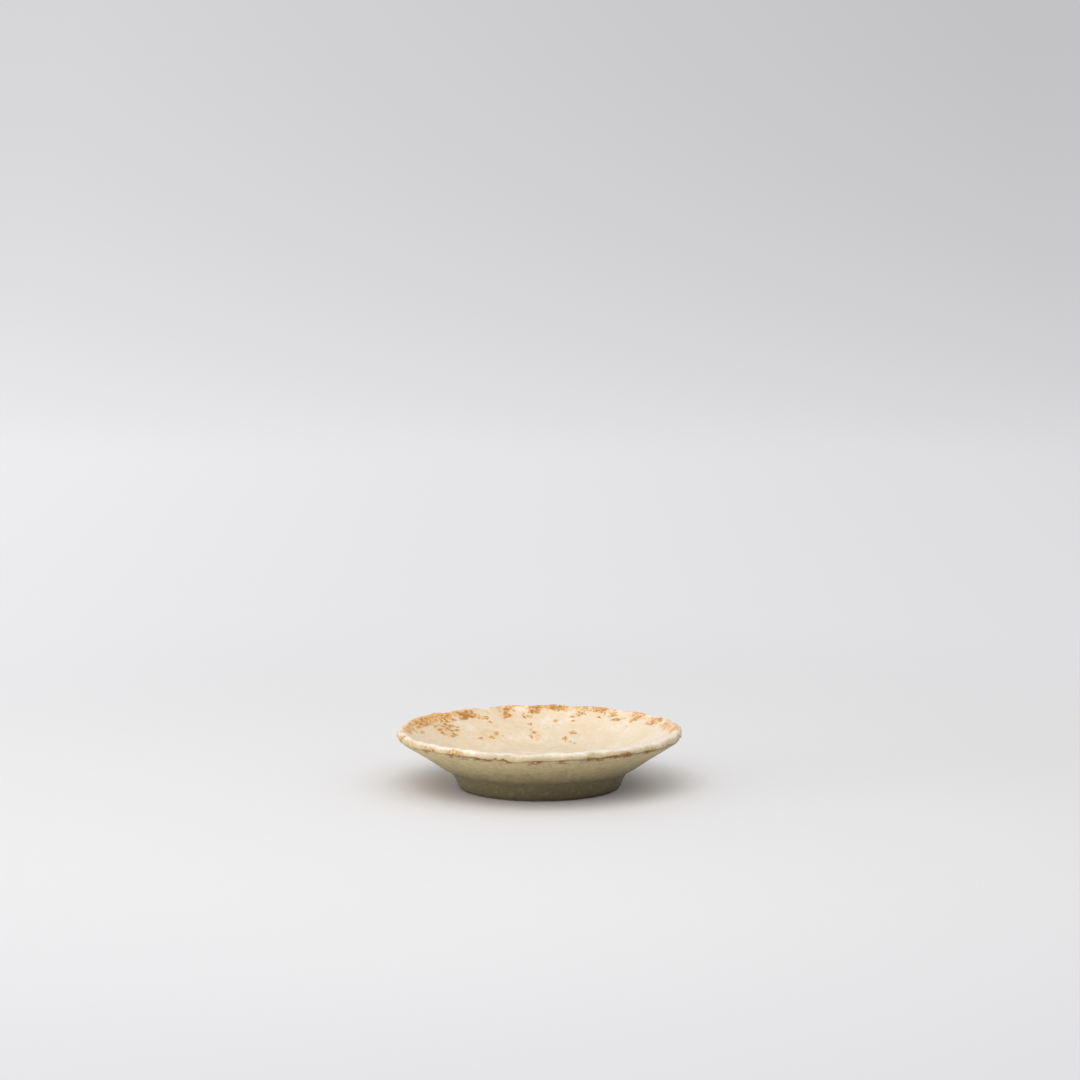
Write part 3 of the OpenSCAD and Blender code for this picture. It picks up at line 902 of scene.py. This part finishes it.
class Finish:
    """A material of one Principled shader whose colours are laid over a ground one by one."""

    def __init__(self, name, ground):
        self.material = bpy.data.materials.new(name)
        self.material.use_nodes = True
        self.tree = self.material.node_tree
        self.shader = self.tree.nodes["Principled BSDF"]
        self.place = add_node(self.tree, "ShaderNodeTexCoord").outputs["Object"]
        self.colour = ground

    def field(self, name, output="Fac"):
        """A number or vector that the mesh carries."""
        return add_node(self.tree, "ShaderNodeAttribute", attribute_name=name).outputs[output]

    def shared(self, name, **values):
        """The outputs of a shared node group."""
        placed = add_node(self.tree, "ShaderNodeGroup", node_tree=bpy.data.node_groups[name])
        return fill(placed, {"Vector": self.place, **values}).outputs

    def lay(self, colour, amount, most=1.0):
        """Lays a colour over the others by a share of an amount."""
        if most < 1:
            amount = times(amount, most)
        self.colour = blend(amount, self.colour, colour)

    def lay_where(self, colour, value, low, high, most=1.0):
        """Lays a colour over the others as a value goes from low to high, at most by a share."""
        self.lay(colour, fit(value, low, high, 0.0, most))

    def complete(self, roughness, height, depth, specular=0.5):
        """Joins the colours, a roughness and a relief of a depth in metres to the shader."""
        relief = add_node(self.tree, "ShaderNodeBump", {"Height": height, "Distance": depth, "Strength": 1.0})
        fill(self.shader, {
            "Base Color": self.colour,
            "Roughness": roughness,
            "Specular IOR Level": specular,
            "Normal": relief.outputs["Normal"],
        })
        return self.material


# Shared node groups

def new_group(name, outputs, **inputs):
    """The inputs and the end of a new shader node group of numbers at a place."""
    tree = bpy.data.node_groups.new(name, "ShaderNodeTree")
    tree.interface.new_socket(name="Vector", in_out="INPUT", socket_type="NodeSocketVector")
    for label, default in inputs.items():
        socket = tree.interface.new_socket(name=label, in_out="INPUT", socket_type="NodeSocketFloat")
        socket.default_value = default
    for label in outputs:
        tree.interface.new_socket(name=label, in_out="OUTPUT", socket_type="NodeSocketFloat")
    return tree.nodes.new("NodeGroupInput").outputs, tree.nodes.new("NodeGroupOutput")


def mottle_group():
    """Slow and quick variation of a poured glaze, from 0 to 1."""
    entry, end = new_group("Mottle", ["Value"], Scale=150.0, Contrast=2.0)
    broad = clouds(entry["Vector"], entry["Scale"], 3.0, 0.5)
    quick = clouds(entry["Vector"], times(entry["Scale"], 5.3), 5.0, 0.65)
    both = plus(times(broad, 0.6), times(quick, 0.4))
    spread = plus(swing(both, entry["Contrast"]), 0.5)
    fill(end, {"Value": add_node(end.id_data, "ShaderNodeClamp", {"Value": spread}).outputs[0]})


def specks_group():
    """Round spots scattered by chance, of chance sizes, as a mask from 0 to 1."""
    entry, end = new_group("Specks", ["Mask"], Scale=500.0, Amount=0.2, Size=0.25)
    shake = clouds(entry["Vector"], times(entry["Scale"], 2.0), 2.0, 0.5)
    grid = {"Vector": entry["Vector"], "Scale": entry["Scale"]}
    cells = add_node(end.id_data, "ShaderNodeTexVoronoi", grid).outputs
    pick = add_node(end.id_data, "ShaderNodeSeparateColor", {"Color": cells["Color"]}).outputs
    chosen = maths("LESS_THAN", pick["Red"], entry["Amount"])
    size = times(entry["Size"], plus(pick["Green"], 0.35))
    ragged = plus(cells["Distance"], times(shake, 0.2))
    edge = minus(plus(size, 0.1), ragged)
    fill(end, {"Mask": times(fit(edge, -0.02, 0.09), chosen)})


def iron_group():
    """Iron that has broken through a glaze: ragged blotches that spread as the field rises."""
    entry, end = new_group("Iron", ["Halo", "Mask", "Core"], Scale=420.0, Field=0.5)
    broad = clouds(entry["Vector"], entry["Scale"], 3.0, 0.6)
    quick = clouds(entry["Vector"], times(entry["Scale"], 2.7), 4.0, 0.65)
    ragged = plus(broad, times(quick, 0.9))
    level = plus(ragged, times(entry["Field"], 0.5))
    present = fit(entry["Field"], 0.05, 0.3)
    for label, low, high in (("Halo", 1.12, 1.32), ("Mask", 1.28, 1.46), ("Core", 1.44, 1.68)):
        fill(end, {label: times(fit(level, low, high), present)})


def fired_skin_group():
    """Height of a fired surface: a soft ripple with fine grain on it."""
    entry, end = new_group("Fired skin", ["Height"], Scale=700.0, Grain=0.3)
    ripple = clouds(entry["Vector"], entry["Scale"], 2.0, 0.5)
    grain = clouds(entry["Vector"], times(entry["Scale"], 6.0), 3.0, 0.6)
    fill(end, {"Height": plus(ripple, times(grain, entry["Grain"]))})


# Materials

# Reach of the painted light and shade laid from side to side across both glazes
PAINTED_SIDE_LIGHT_REACH = 0.04
# Ways from the lip's crest over which a tone comes in, the inside as positive numbers
# CREST_INSIDE and CREST_OUTSIDE bound the lip's crest, where a painted highlight is laid
CREST_INSIDE = (0.0014, 0.0002)
CREST_OUTSIDE = (-0.0022, -0.0008)
CREAM_THINS = (-0.0004, -0.0024)
RUST_DULLS = (-0.0014, -0.0026)
# The olive ways below bound the painted light and shade down the outside, which is partly also pooled glaze
OLIVE_LIGHTENS = (-0.0150, -0.0055)
OLIVE_POOLS_AND_SHADE = (-0.0120, -0.0242)
OLIVE_DEEPENS = (-0.0235, -0.0300)


def cream_material(finishes):
    """Satin cream glaze, sandy where thin, with iron breaking through along the rim, a painted highlight on
    the lip's crest and painted light and shade from side to side.
    """
    glaze = Finish("cream_glaze", finishes.cream)
    mottle = glaze.shared("Mottle", Scale=130.0, Contrast=2.4)["Value"]
    quick = glaze.shared("Mottle", Scale=520.0, Contrast=2.6)["Value"]
    glaze.lay_where(finishes.cream_pale, mottle, 0.5, 0.95)
    glaze.lay_where(finishes.cream_sand, mottle, 0.5, 0.05, 0.8)
    glaze.lay_where(finishes.cream_sand, quick, 0.5, 0.1, 0.45)
    glaze.lay_where(finishes.cream_pale, quick, 0.55, 0.95, 0.5)
    # Painted light and shade: the inside is laid sandier and darker towards the left and paler towards the
    # right, where more light falls; the left's warmer tint is partly the glaze's own
    across = axes(glaze.place)["X"]
    glaze.lay_where(finishes.cream_sand, across, 0.0, -PAINTED_SIDE_LIGHT_REACH, 0.2)
    glaze.lay_where(finishes.cream_pale, across, 0.0, PAINTED_SIDE_LIGHT_REACH, 0.3)
    from_lip = glaze.field("from_lip")
    # Painted highlight, partly also thick glaze: the lip's crest is laid nearly white where the lamps'
    # reflection runs along its glossy roll
    thick = times(fit(from_lip, *CREST_INSIDE), fit(from_lip, *CREST_OUTSIDE))
    glaze.lay(finishes.cream_white, thick, 0.85)
    streaky = clouds(glaze.place, 520.0, 6.0, 0.72)
    uneven = plus(swing(streaky, 0.0014), swing(mottle, 0.0012))
    glaze.lay_where(finishes.cream_thin, plus(from_lip, uneven), *CREAM_THINS, 0.95)
    wash = glaze.field("wash")
    golden = fit(plus(streaky, times(wash, 0.34)), 0.6, 0.9)
    golden = times(golden, fit(wash, 0.0, 0.3))
    glaze.lay(finishes.rust_gold, golden, 0.95)
    iron = glaze.shared("Iron", Scale=850.0, Field=glaze.field("stain"))
    speckle = glaze.shared("Iron", Scale=1400.0, Field=times(glaze.field("speckle"), 0.9))
    outside = fit(from_lip, *RUST_DULLS)
    gold = blend(outside, finishes.rust_gold, finishes.rust_khaki)
    speck = blend(outside, finishes.rust_speck, finishes.line_brown)
    brown = blend(outside, finishes.rust_brown, finishes.line_brown)
    dark = blend(outside, finishes.rust_dark, finishes.clay_iron)
    glaze.lay(gold, larger(iron["Halo"], times(speckle["Halo"], 0.85)), 0.6)
    glaze.lay(speck, speckle["Mask"], 0.95)
    glaze.lay(dark, speckle["Core"], 0.45)
    glaze.lay(brown, iron["Mask"], 0.85)
    glaze.lay(dark, iron["Core"], 0.65)
    specks = glaze.shared("Specks", Scale=420.0, Amount=0.1, Size=0.16)["Mask"]
    glaze.lay(finishes.rust_brown, specks, 0.45)
    dull = times(larger(golden, iron["Mask"]), 0.14)
    roughness = plus(fit(quick, 0.0, 1.0, 0.5, 0.4), dull)
    pinholes = glaze.shared("Specks", Scale=760.0, Amount=0.14, Size=0.12)["Mask"]
    skin = glaze.shared("Fired skin", Scale=420.0, Grain=0.1)["Height"]
    pits = times(larger(pinholes, iron["Core"]), 0.8)
    return glaze.complete(roughness, minus(skin, pits), depth=0.00003, specular=0.35)


def olive_material(finishes):
    """Satin olive glaze, light under the iron line of the lip and darker down to the foot: partly pooled
    glaze, partly painted light and shade.
    """
    glaze = Finish("olive_glaze", finishes.olive)
    mottle = glaze.shared("Mottle", Scale=170.0, Contrast=2.4)["Value"]
    quick = glaze.shared("Mottle", Scale=640.0, Contrast=2.6)["Value"]
    # Painted light and shade, partly also pooled glaze: light olive under the lip, dark olive at the top of
    # the foot and deep olive at its bottom, which lie in shade
    depth = plus(glaze.field("from_lip"), swing(mottle, 0.003))
    glaze.lay_where(finishes.olive_light, depth, *OLIVE_LIGHTENS)
    pooled_and_shaded = fit(depth, *OLIVE_POOLS_AND_SHADE)
    glaze.lay(finishes.olive_dark, pooled_and_shaded)
    glaze.lay_where(finishes.olive_deep, depth, *OLIVE_DEEPENS)
    pale = fit(quick, 0.5, 1.0, 0.0, 0.24)
    glaze.lay(finishes.cream, times(pale, minus(1.0, pooled_and_shaded)))
    worn = fit(quick, 0.5, 1.0, 0.0, 0.36)
    glaze.lay(finishes.olive, times(worn, pooled_and_shaded))
    glaze.lay_where(finishes.olive_speck, quick, 0.5, 0.0, 0.4)
    glaze.lay_where(finishes.olive_green, mottle, 0.5, 0.0, 0.3)
    round_way = glaze.field("round_way", "Vector")
    streaks = clouds(stretched(round_way, (1.0, 1.0, 0.15)), 800.0, 5.0, 0.65)
    glaze.lay_where(finishes.olive_speck, streaks, 0.5, 0.25, 0.25)
    drags = clouds(stretched(round_way, (0.3, 0.3, 1.4)), 900.0, 4.0, 0.7)
    drag = fit(drags, 0.39, 0.26)
    glaze.lay(finishes.olive_speck, drag, 0.5)
    # Painted shade: the olive glaze is laid darker towards the right side, which gets less light
    glaze.lay_where(finishes.olive_dark, axes(glaze.place)["X"], 0.0, PAINTED_SIDE_LIGHT_REACH, 0.18)
    specks = glaze.shared("Specks", Scale=900.0, Amount=0.25, Size=0.2)["Mask"]
    glaze.lay(finishes.olive_speck, specks, 0.5)
    iron = glaze.shared("Iron", Scale=380.0, Field=glaze.field("stain"))
    glaze.lay(finishes.line_brown, iron["Mask"], 0.7)
    glaze.lay(finishes.clay_iron, iron["Core"], 0.7)
    roughness = fit(mottle, 0.0, 1.0, 0.52, 0.38)
    pinholes = glaze.shared("Specks", Scale=1100.0, Amount=0.25, Size=0.16)["Mask"]
    skin = glaze.shared("Fired skin", Scale=800.0, Grain=0.3)["Height"]
    pits = times(larger(pinholes, drag), 0.8)
    return glaze.complete(roughness, minus(skin, pits), depth=0.00005)


def clay_material(name, ground, grain, finishes):
    """Bare fired clay: matt and grainy, with iron where the mesh has a stain."""
    clay = Finish(name, ground)
    mottle = clay.shared("Mottle", Scale=420.0, Contrast=2.6)["Value"]
    clay.lay(grain, mottle)
    stain = clay.field("stain")
    clay.lay_where(finishes.line_brown, stain, 0.3, 0.8, 0.7)
    iron = clay.shared("Iron", Scale=380.0, Field=stain)
    clay.lay(finishes.line_brown, iron["Mask"], 0.85)
    clay.lay(finishes.clay_iron, iron["Core"], 0.8)
    roughness = fit(mottle, 0.0, 1.0, 0.9, 0.72)
    skin = clay.shared("Fired skin", Scale=1500.0, Grain=0.8)["Height"]
    return clay.complete(roughness, skin, depth=0.00009)


# Stage

SWEEP_WIDTH = 6
SWEEP_MIDDLE = -1.0
SWEEP_BACK = SWEEP_MIDDLE + SWEEP_WIDTH / 2
SWEEP_HEIGHT = 2.5
SWEEP_BEND = 0.9
SWEEP_SIDE = 0.35
EDGE_MARGIN = 0.1
Lamp = namedtuple("Lamp", "name place width height power")
LAMPS = (
    Lamp("key_lamp", (-0.35, -0.95, 1.2), 1.2, 1.2, "key_power"),
    Lamp("fill_lamp", (0.4, -0.7, 1.6), 2.6, 2.6, "fill_power"),
    Lamp("low_lamp", (-1.42, -0.48, 0.1), 1.1, 0.26, "low_power"),
)


def sweep_material(stage):
    """Matt paper, its lit floor painted lighter at the left and darker at the right. Away from the dish a
    camera sees a painted glow in its plain tone, lighter at the left and darker far off.
    """
    paper = Finish("sweep_paper", stage.lit_left)
    parts = axes(paper.place)
    span = {"Value": parts["X"], "From Min": -SWEEP_SIDE, "From Max": SWEEP_SIDE}
    across = add_node(paper.tree, "ShaderNodeMapRange", span).outputs[0]
    # Painted light and shade: the floor's own colour goes from lighter at the left to darker at the right
    paper.lay(stage.lit_right, across)
    fill(paper.shader, {"Base Color": paper.colour, "Roughness": 0.9, "Specular IOR Level": 0.1})
    # Painted light: the glow that the camera sees away from the dish, darker to the right and far off
    near = blend(across, stage.sweep_left, stage.sweep_right)
    far = blend(across, stage.far_left, stage.far_right)
    tone = blend(fit(parts["Y"], stage.fade_start, stage.fade_end), near, far)
    glow = add_node(paper.tree, "ShaderNodeEmission", {"Color": tone})
    rays = add_node(paper.tree, "ShaderNodeLightPath").outputs
    seen = larger(rays["Is Camera Ray"], rays["Is Glossy Ray"])
    away = add_node(paper.tree, "ShaderNodeVectorMath", {0: paper.place}, operation="LENGTH").outputs["Value"]
    amount = times(fit(away, stage.near_start, stage.near_end), seen)
    shaders = {0: amount, 1: paper.shader.outputs[0], 2: glow.outputs[0]}
    mixed = add_node(paper.tree, "ShaderNodeMixShader", shaders)
    fill(paper.tree.nodes["Material Output"], {"Surface": mixed.outputs[0]})
    return paper.material


def select_edges(piece, chosen):
    """Selects the edges of a piece in edit mode whose ends both pass a test."""
    bpy.ops.mesh.select_all(action="DESELECT")
    bpy.ops.object.mode_set(mode="OBJECT")
    for edge in piece.data.edges:
        edge.select = all(chosen(piece.data.vertices[i].co) for i in edge.vertices)
    bpy.ops.object.mode_set(mode="EDIT")


def add_sweep(stage):
    """A floor that bends up into a backdrop behind the dish."""
    bpy.ops.object.select_all(action="DESELECT")
    bpy.ops.mesh.primitive_plane_add(size=SWEEP_WIDTH, location=(0, SWEEP_MIDDLE, 0))
    sweep = bpy.context.active_object
    sweep.name = "sweep"
    bpy.ops.object.transform_apply(location=True)
    bpy.ops.object.mode_set(mode="EDIT")
    bpy.ops.mesh.select_mode(type="EDGE")
    select_edges(sweep, lambda end: end.y > SWEEP_BACK - EDGE_MARGIN)
    bpy.ops.mesh.extrude_region_move(TRANSFORM_OT_translate={"value": (0, 0, SWEEP_HEIGHT)})
    select_edges(sweep, lambda end: end.y > SWEEP_BACK - EDGE_MARGIN and end.z < EDGE_MARGIN)
    bpy.ops.mesh.bevel(offset=SWEEP_BEND, segments=32)
    bpy.ops.object.mode_set(mode="OBJECT")
    bpy.ops.object.shade_smooth()
    sweep.data.materials.append(sweep_material(stage))


def add_lamp(lamp, target, watts):
    """A soft lamp that points at a target."""
    bpy.ops.object.light_add(type="AREA", location=lamp.place)
    made = bpy.context.active_object
    made.name = lamp.name
    made.rotation_euler = (target - Vector(lamp.place)).to_track_quat("-Z", "Y").to_euler()
    made.data.shape = "RECTANGLE"
    made.data.size = lamp.width
    made.data.size_y = lamp.height
    made.data.energy = watts


def add_world(scene, level):
    """Even white light from all round."""
    scene.world = scene.world or bpy.data.worlds.new("World")
    scene.world.use_nodes = True
    background = scene.world.node_tree.nodes["Background"]
    background.inputs["Color"].default_value = (1, 1, 1, 1)
    background.inputs["Strength"].default_value = level


def add_camera(scene, middle):
    """The photograph's camera, in front of the middle of the dish and above it."""
    stage = scene.dish_stage
    level = stage.camera_distance * math.cos(stage.camera_elevation)
    rise = stage.camera_distance * math.sin(stage.camera_elevation)
    bpy.ops.object.camera_add(location=middle + Vector((stage.camera_side, -level, rise)))
    scene.camera = bpy.context.active_object
    scene.camera.rotation_euler = (math.pi / 2 - stage.camera_pitch, 0, 0)
    scene.camera.data.sensor_fit = "HORIZONTAL"
    scene.camera.data.sensor_width = 24
    scene.camera.data.lens = 85
    scene.camera.data.clip_start = 0.01
    scene.view_settings.view_transform = "Standard"


# Operators

class DISH_OT_clay_body(bpy.types.Operator):
    """Press the clay slab whose bare edge shows between the two glazes"""

    bl_idname = "dish.clay_body"
    bl_label = "Clay Body"

    def execute(self, context):
        sizes = context.scene.dish_sizes
        finishes = context.scene.dish_finishes
        piece = turned_piece("clay_body", clay_section(Slab(sizes)), sizes)
        write_stains(piece, stain=IRON_LINE)
        press_lobes(piece, sizes)
        material = clay_material("tan_clay", finishes.clay_tan, finishes.clay_sand, finishes)
        place_piece(piece, material, "clay", "clay_dish")
        return {"FINISHED"}


class DISH_OT_foot(bpy.types.Operator):
    """Turn the foot ring with its bare standing edge"""

    bl_idname = "dish.foot"
    bl_label = "Foot Ring"

    def execute(self, context):
        sizes = context.scene.dish_sizes
        finishes = context.scene.dish_finishes
        piece = turned_piece("foot", foot_section(sizes), sizes)
        swell(piece, "scraped", sizes.fine_unevenness, size=0.002)
        # Painted contact shade, partly also the clay's own tone: the foot's bare standing edge is given very
        # dark clay
        material = clay_material("foot_clay", finishes.clay_foot, finishes.clay_grain, finishes)
        place_piece(piece, material, "clay", "foot_ring")
        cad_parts["slip_joint"].data.materials.clear()
        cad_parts["slip_joint"].data.materials.append(material)
        return {"FINISHED"}


class DISH_OT_cream_glaze(bpy.types.Operator):
    """Pour the cream glaze inside, over the lip"""

    bl_idname = "dish.cream_glaze"
    bl_label = "Cream Glaze"

    def execute(self, context):
        sizes = context.scene.dish_sizes
        slab = Slab(sizes)
        piece = turned_piece("cream_coat", cream_section(slab), sizes)
        write_stains(piece, stain=IRON_SPOTS, speckle=SPECKLES, wash=GOLDEN_WASH, gap=CREST_GAPS)
        open_share = 1 - read_field(piece.data, "gap")
        write_field(piece.data, "wash", read_field(piece.data, "wash") * open_share)
        wander_lip_edge(piece, slab, seed=3.3)
        press_lobes(piece, sizes)
        on_lip = over(read_field(piece.data, "dip"), LUMP_START)
        write_field(piece.data, "lump", read_field(piece.data, "coat") * on_lip)
        swell(piece, "lumps", sizes.lip_unevenness, size=0.004, weight="lump")
        swell(piece, "broad", sizes.broad_unevenness, size=0.007)
        swell(piece, "fine", sizes.fine_unevenness, size=0.0022)
        place_piece(piece, cream_material(context.scene.dish_finishes), "inside_glaze", "inside_glaze")
        return {"FINISHED"}


class DISH_OT_olive_glaze(bpy.types.Operator):
    """Coat the outside of the wall and the foot with olive glaze"""

    bl_idname = "dish.olive_glaze"
    bl_label = "Olive Glaze"

    def execute(self, context):
        sizes = context.scene.dish_sizes
        slab = Slab(sizes)
        piece = turned_piece("olive_coat", olive_section(slab), sizes)
        write_vectors(piece.data, "round_way", round_way(piece.data))
        write_stains(piece, stain=IRON_LINE)
        wander_lip_edge(piece, slab, seed=11.7)
        wander_foot_edge(piece, sizes, seed=5.9)
        press_lobes(piece, sizes)
        swell(piece, "broad", sizes.broad_unevenness, size=0.006)
        swell(piece, "fine", sizes.fine_unevenness, size=0.002)
        material = olive_material(context.scene.dish_finishes)
        place_piece(piece, material, "outside_glaze", "outside_glaze", "foot_glaze")
        return {"FINISHED"}


class DISH_OT_base_glaze(bpy.types.Operator):
    """Coat the base inside the foot ring"""

    bl_idname = "dish.base_glaze"
    bl_label = "Base Glaze"

    def execute(self, context):
        sizes = context.scene.dish_sizes
        piece = turned_piece("base_coat", base_section(sizes), sizes)
        write_vectors(piece.data, "round_way", read_points(piece.data))
        swell(piece, "broad", sizes.broad_unevenness, size=0.006)
        place_piece(piece, bpy.data.materials["olive_glaze"], "outside_glaze", "base_glaze")
        return {"FINISHED"}


class DISH_OT_stage(bpy.types.Operator):
    """Set up the sweep, the soft lamps and the camera"""

    bl_idname = "dish.stage"
    bl_label = "Stage"

    def execute(self, context):
        stage = context.scene.dish_stage
        middle = Vector((0, 0, context.scene.dish_sizes.height / 2))
        add_sweep(stage)
        for lamp in LAMPS:
            add_lamp(lamp, middle, getattr(stage, lamp.power))
        add_world(context.scene, stage.world_level)
        add_camera(context.scene, middle)
        return {"FINISHED"}


# Panel and registration

GROUPS = {"dish_sizes": DishSizes, "dish_finishes": DishFinishes, "dish_stage": DishStage}
OPERATORS = (
    DISH_OT_clay_body,
    DISH_OT_foot,
    DISH_OT_cream_glaze,
    DISH_OT_olive_glaze,
    DISH_OT_base_glaze,
    DISH_OT_stage,
)


class DISH_PT_panel(bpy.types.Panel):
    """Lists the dish's pieces and sizes"""

    bl_idname = "DISH_PT_panel"
    bl_label = "Soy Sauce Dish"
    bl_space_type = "VIEW_3D"
    bl_region_type = "UI"
    bl_category = "Dish"

    def draw(self, context):
        for operator in OPERATORS:
            self.layout.operator(operator.bl_idname)
        for name, group in GROUPS.items():
            column = self.layout.column()
            for key in group.__annotations__:
                column.prop(getattr(context.scene, name), key)


def register():
    for name, group in GROUPS.items():
        bpy.utils.register_class(group)
        setattr(bpy.types.Scene, name, bpy.props.PointerProperty(type=group))
    for made in (*OPERATORS, DISH_PT_panel):
        bpy.utils.register_class(made)


def unregister():
    for made in (DISH_PT_panel, *reversed(OPERATORS)):
        bpy.utils.unregister_class(made)
    for name, group in GROUPS.items():
        delattr(bpy.types.Scene, name)
        bpy.utils.unregister_class(group)


def main():
    register()
    for build in (mottle_group, specks_group, iron_group, fired_skin_group):
        build()
    bpy.ops.dish.clay_body()
    bpy.ops.dish.foot()
    bpy.ops.dish.cream_glaze()
    bpy.ops.dish.olive_glaze()
    bpy.ops.dish.base_glaze()
    bpy.ops.dish.stage()


if __name__ == "__main__":
    main()
